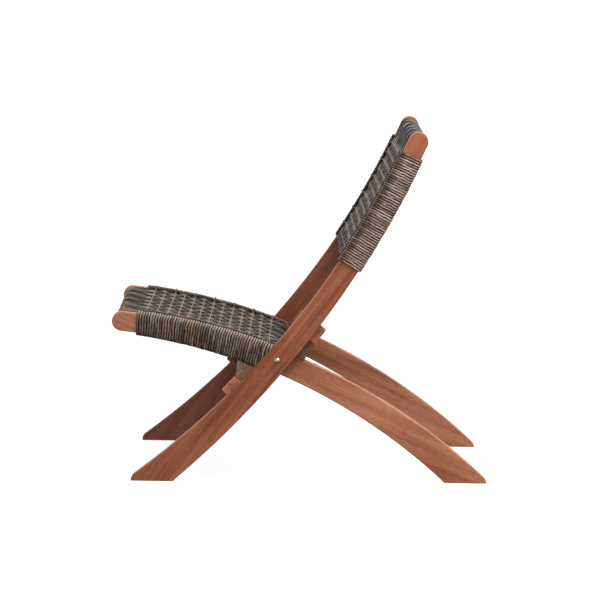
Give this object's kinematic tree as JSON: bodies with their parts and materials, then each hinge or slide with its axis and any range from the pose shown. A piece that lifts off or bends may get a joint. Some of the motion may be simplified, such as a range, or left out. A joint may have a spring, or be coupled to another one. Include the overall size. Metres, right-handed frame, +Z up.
{
  "type": "folding armchair",
  "caption": "Low folding lounge chair: two crossed frames of curved tapering boards, a woven seat and backrest, and stop bars that rest on blocks when it is open.",
  "frame": {"origin": "on the floor, at the centre of the open chair's bounding box", "axes": "+Z up; +X across the width, towards the sitter's left; +Y to the rear, so that the chair faces -Y; metres"},
  "size_m": [0.5894, 0.8677, 0.8102],
  "materials": {
    "hardwood": "oiled, satin",
    "hardwood_dark": "oiled, matt",
    "dowel_wood": "raw",
    "cane": "mottled round strand, satin",
    "brass": "satin",
    "nylon": "matt"
  },
  "bodies": {
    "back_frame": {"stile_left": "hardwood", "stile_right": "hardwood", "back_top_rail": "hardwood_dark", "back_bottom_rail": "hardwood_dark", "back_weave": "cane", "back_wrap_left": "cane", "back_wrap_right": "cane", "front_block_left": "hardwood_dark", "front_block_right": "hardwood_dark", "rear_block_left": "hardwood_dark", "rear_block_right": "hardwood_dark", "block_screws": "brass", "back_dowels": "dowel_wood"},
    "seat_frame": {"seat_rail_left": "hardwood", "seat_rail_right": "hardwood", "seat_front_rail": "hardwood_dark", "seat_rear_rail": "hardwood_dark", "seat_weave": "cane", "seat_wrap_left": "cane", "seat_wrap_right": "cane", "front_stop_bar": "hardwood_dark", "rear_stop_bar": "hardwood_dark", "bar_dowels": "dowel_wood", "seat_dowels": "dowel_wood", "pivot_bolts": "brass", "pivot_inserts": "brass", "pivot_washers": "nylon"}
  },
  "joints": [
    {"name": "fold", "type": "hinge", "parent": "back_frame", "child": "seat_frame", "pos_m": [0, -0.05379, 0.283], "axis": [-1, 0, 0], "range_deg": [0, 90]}
  ]
}
